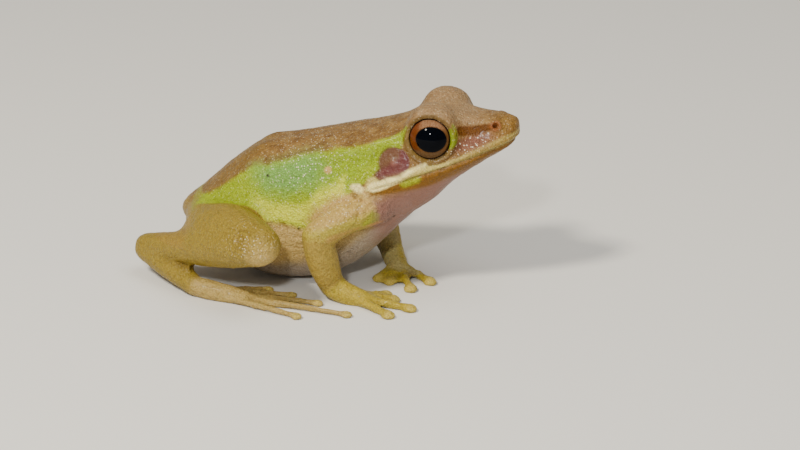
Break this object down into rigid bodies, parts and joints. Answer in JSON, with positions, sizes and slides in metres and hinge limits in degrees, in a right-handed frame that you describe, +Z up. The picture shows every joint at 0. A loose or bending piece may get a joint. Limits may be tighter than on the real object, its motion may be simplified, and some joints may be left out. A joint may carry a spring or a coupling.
{
  "type": "white-lipped frog",
  "caption": "Still, life-size white-lipped stream frog sitting with its head raised, for display as a museum specimen model.",
  "frame": {"origin": "middle of the frog's bounding box, on the floor under the belly", "axes": "+X towards the snout, +Y towards the frog's left, +Z up"},
  "size_m": [0.0498, 0.0462, 0.0257],
  "materials": {
    "back_skin": "moist satin",
    "limb_skin": "moist satin",
    "throat_skin": "moist satin",
    "ear_membrane": "satin",
    "eye": "wet gloss"
  },
  "bodies": {
    "root": {"head": "back_skin", "lower_jaw": "throat_skin", "torso": "back_skin", "eye_right": "eye", "tympanum_right": "ear_membrane", "upper_arm_right": "limb_skin", "forearm_right": "limb_skin", "hand_right": "limb_skin", "thigh_right": "limb_skin", "shank_right": "limb_skin", "tarsus_right": "limb_skin", "foot_right": "limb_skin", "eye_left": "eye", "tympanum_left": "ear_membrane", "upper_arm_left": "limb_skin", "forearm_left": "limb_skin", "hand_left": "limb_skin", "thigh_left": "limb_skin", "shank_left": "limb_skin", "tarsus_left": "limb_skin", "foot_left": "limb_skin"}
  },
  "joints": []
}
